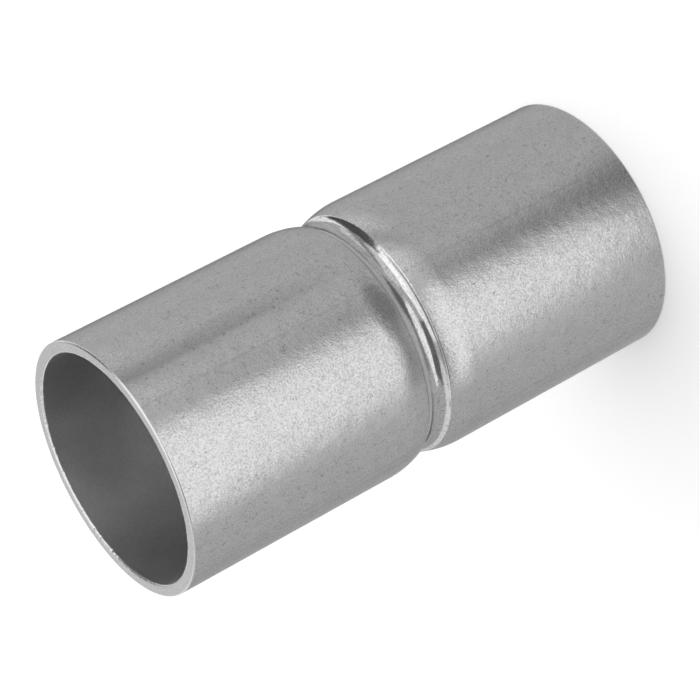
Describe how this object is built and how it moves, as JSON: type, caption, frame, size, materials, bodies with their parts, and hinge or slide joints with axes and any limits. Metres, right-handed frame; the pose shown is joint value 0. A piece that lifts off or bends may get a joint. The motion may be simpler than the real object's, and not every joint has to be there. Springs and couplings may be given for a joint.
{
  "type": "conduit coupling",
  "caption": "Push-in coupling for steel conduit: a short thin-walled galvanised tube with a groove rolled round its middle that stops the conduit inside.",
  "frame": {"origin": "centre of the lower mouth's cut face, which the coupling stands on", "axes": "+Z along the tube's axis, up towards the upper mouth; X and Y are alike"},
  "size_m": [0.0276, 0.0276, 0.0602],
  "materials": {
    "galvanised_steel": "dull grey galvanised steel with a fine grain; the rolled groove is burnished"
  },
  "bodies": {
    "root": {"coupling_sleeve": "galvanised_steel"}
  },
  "joints": []
}
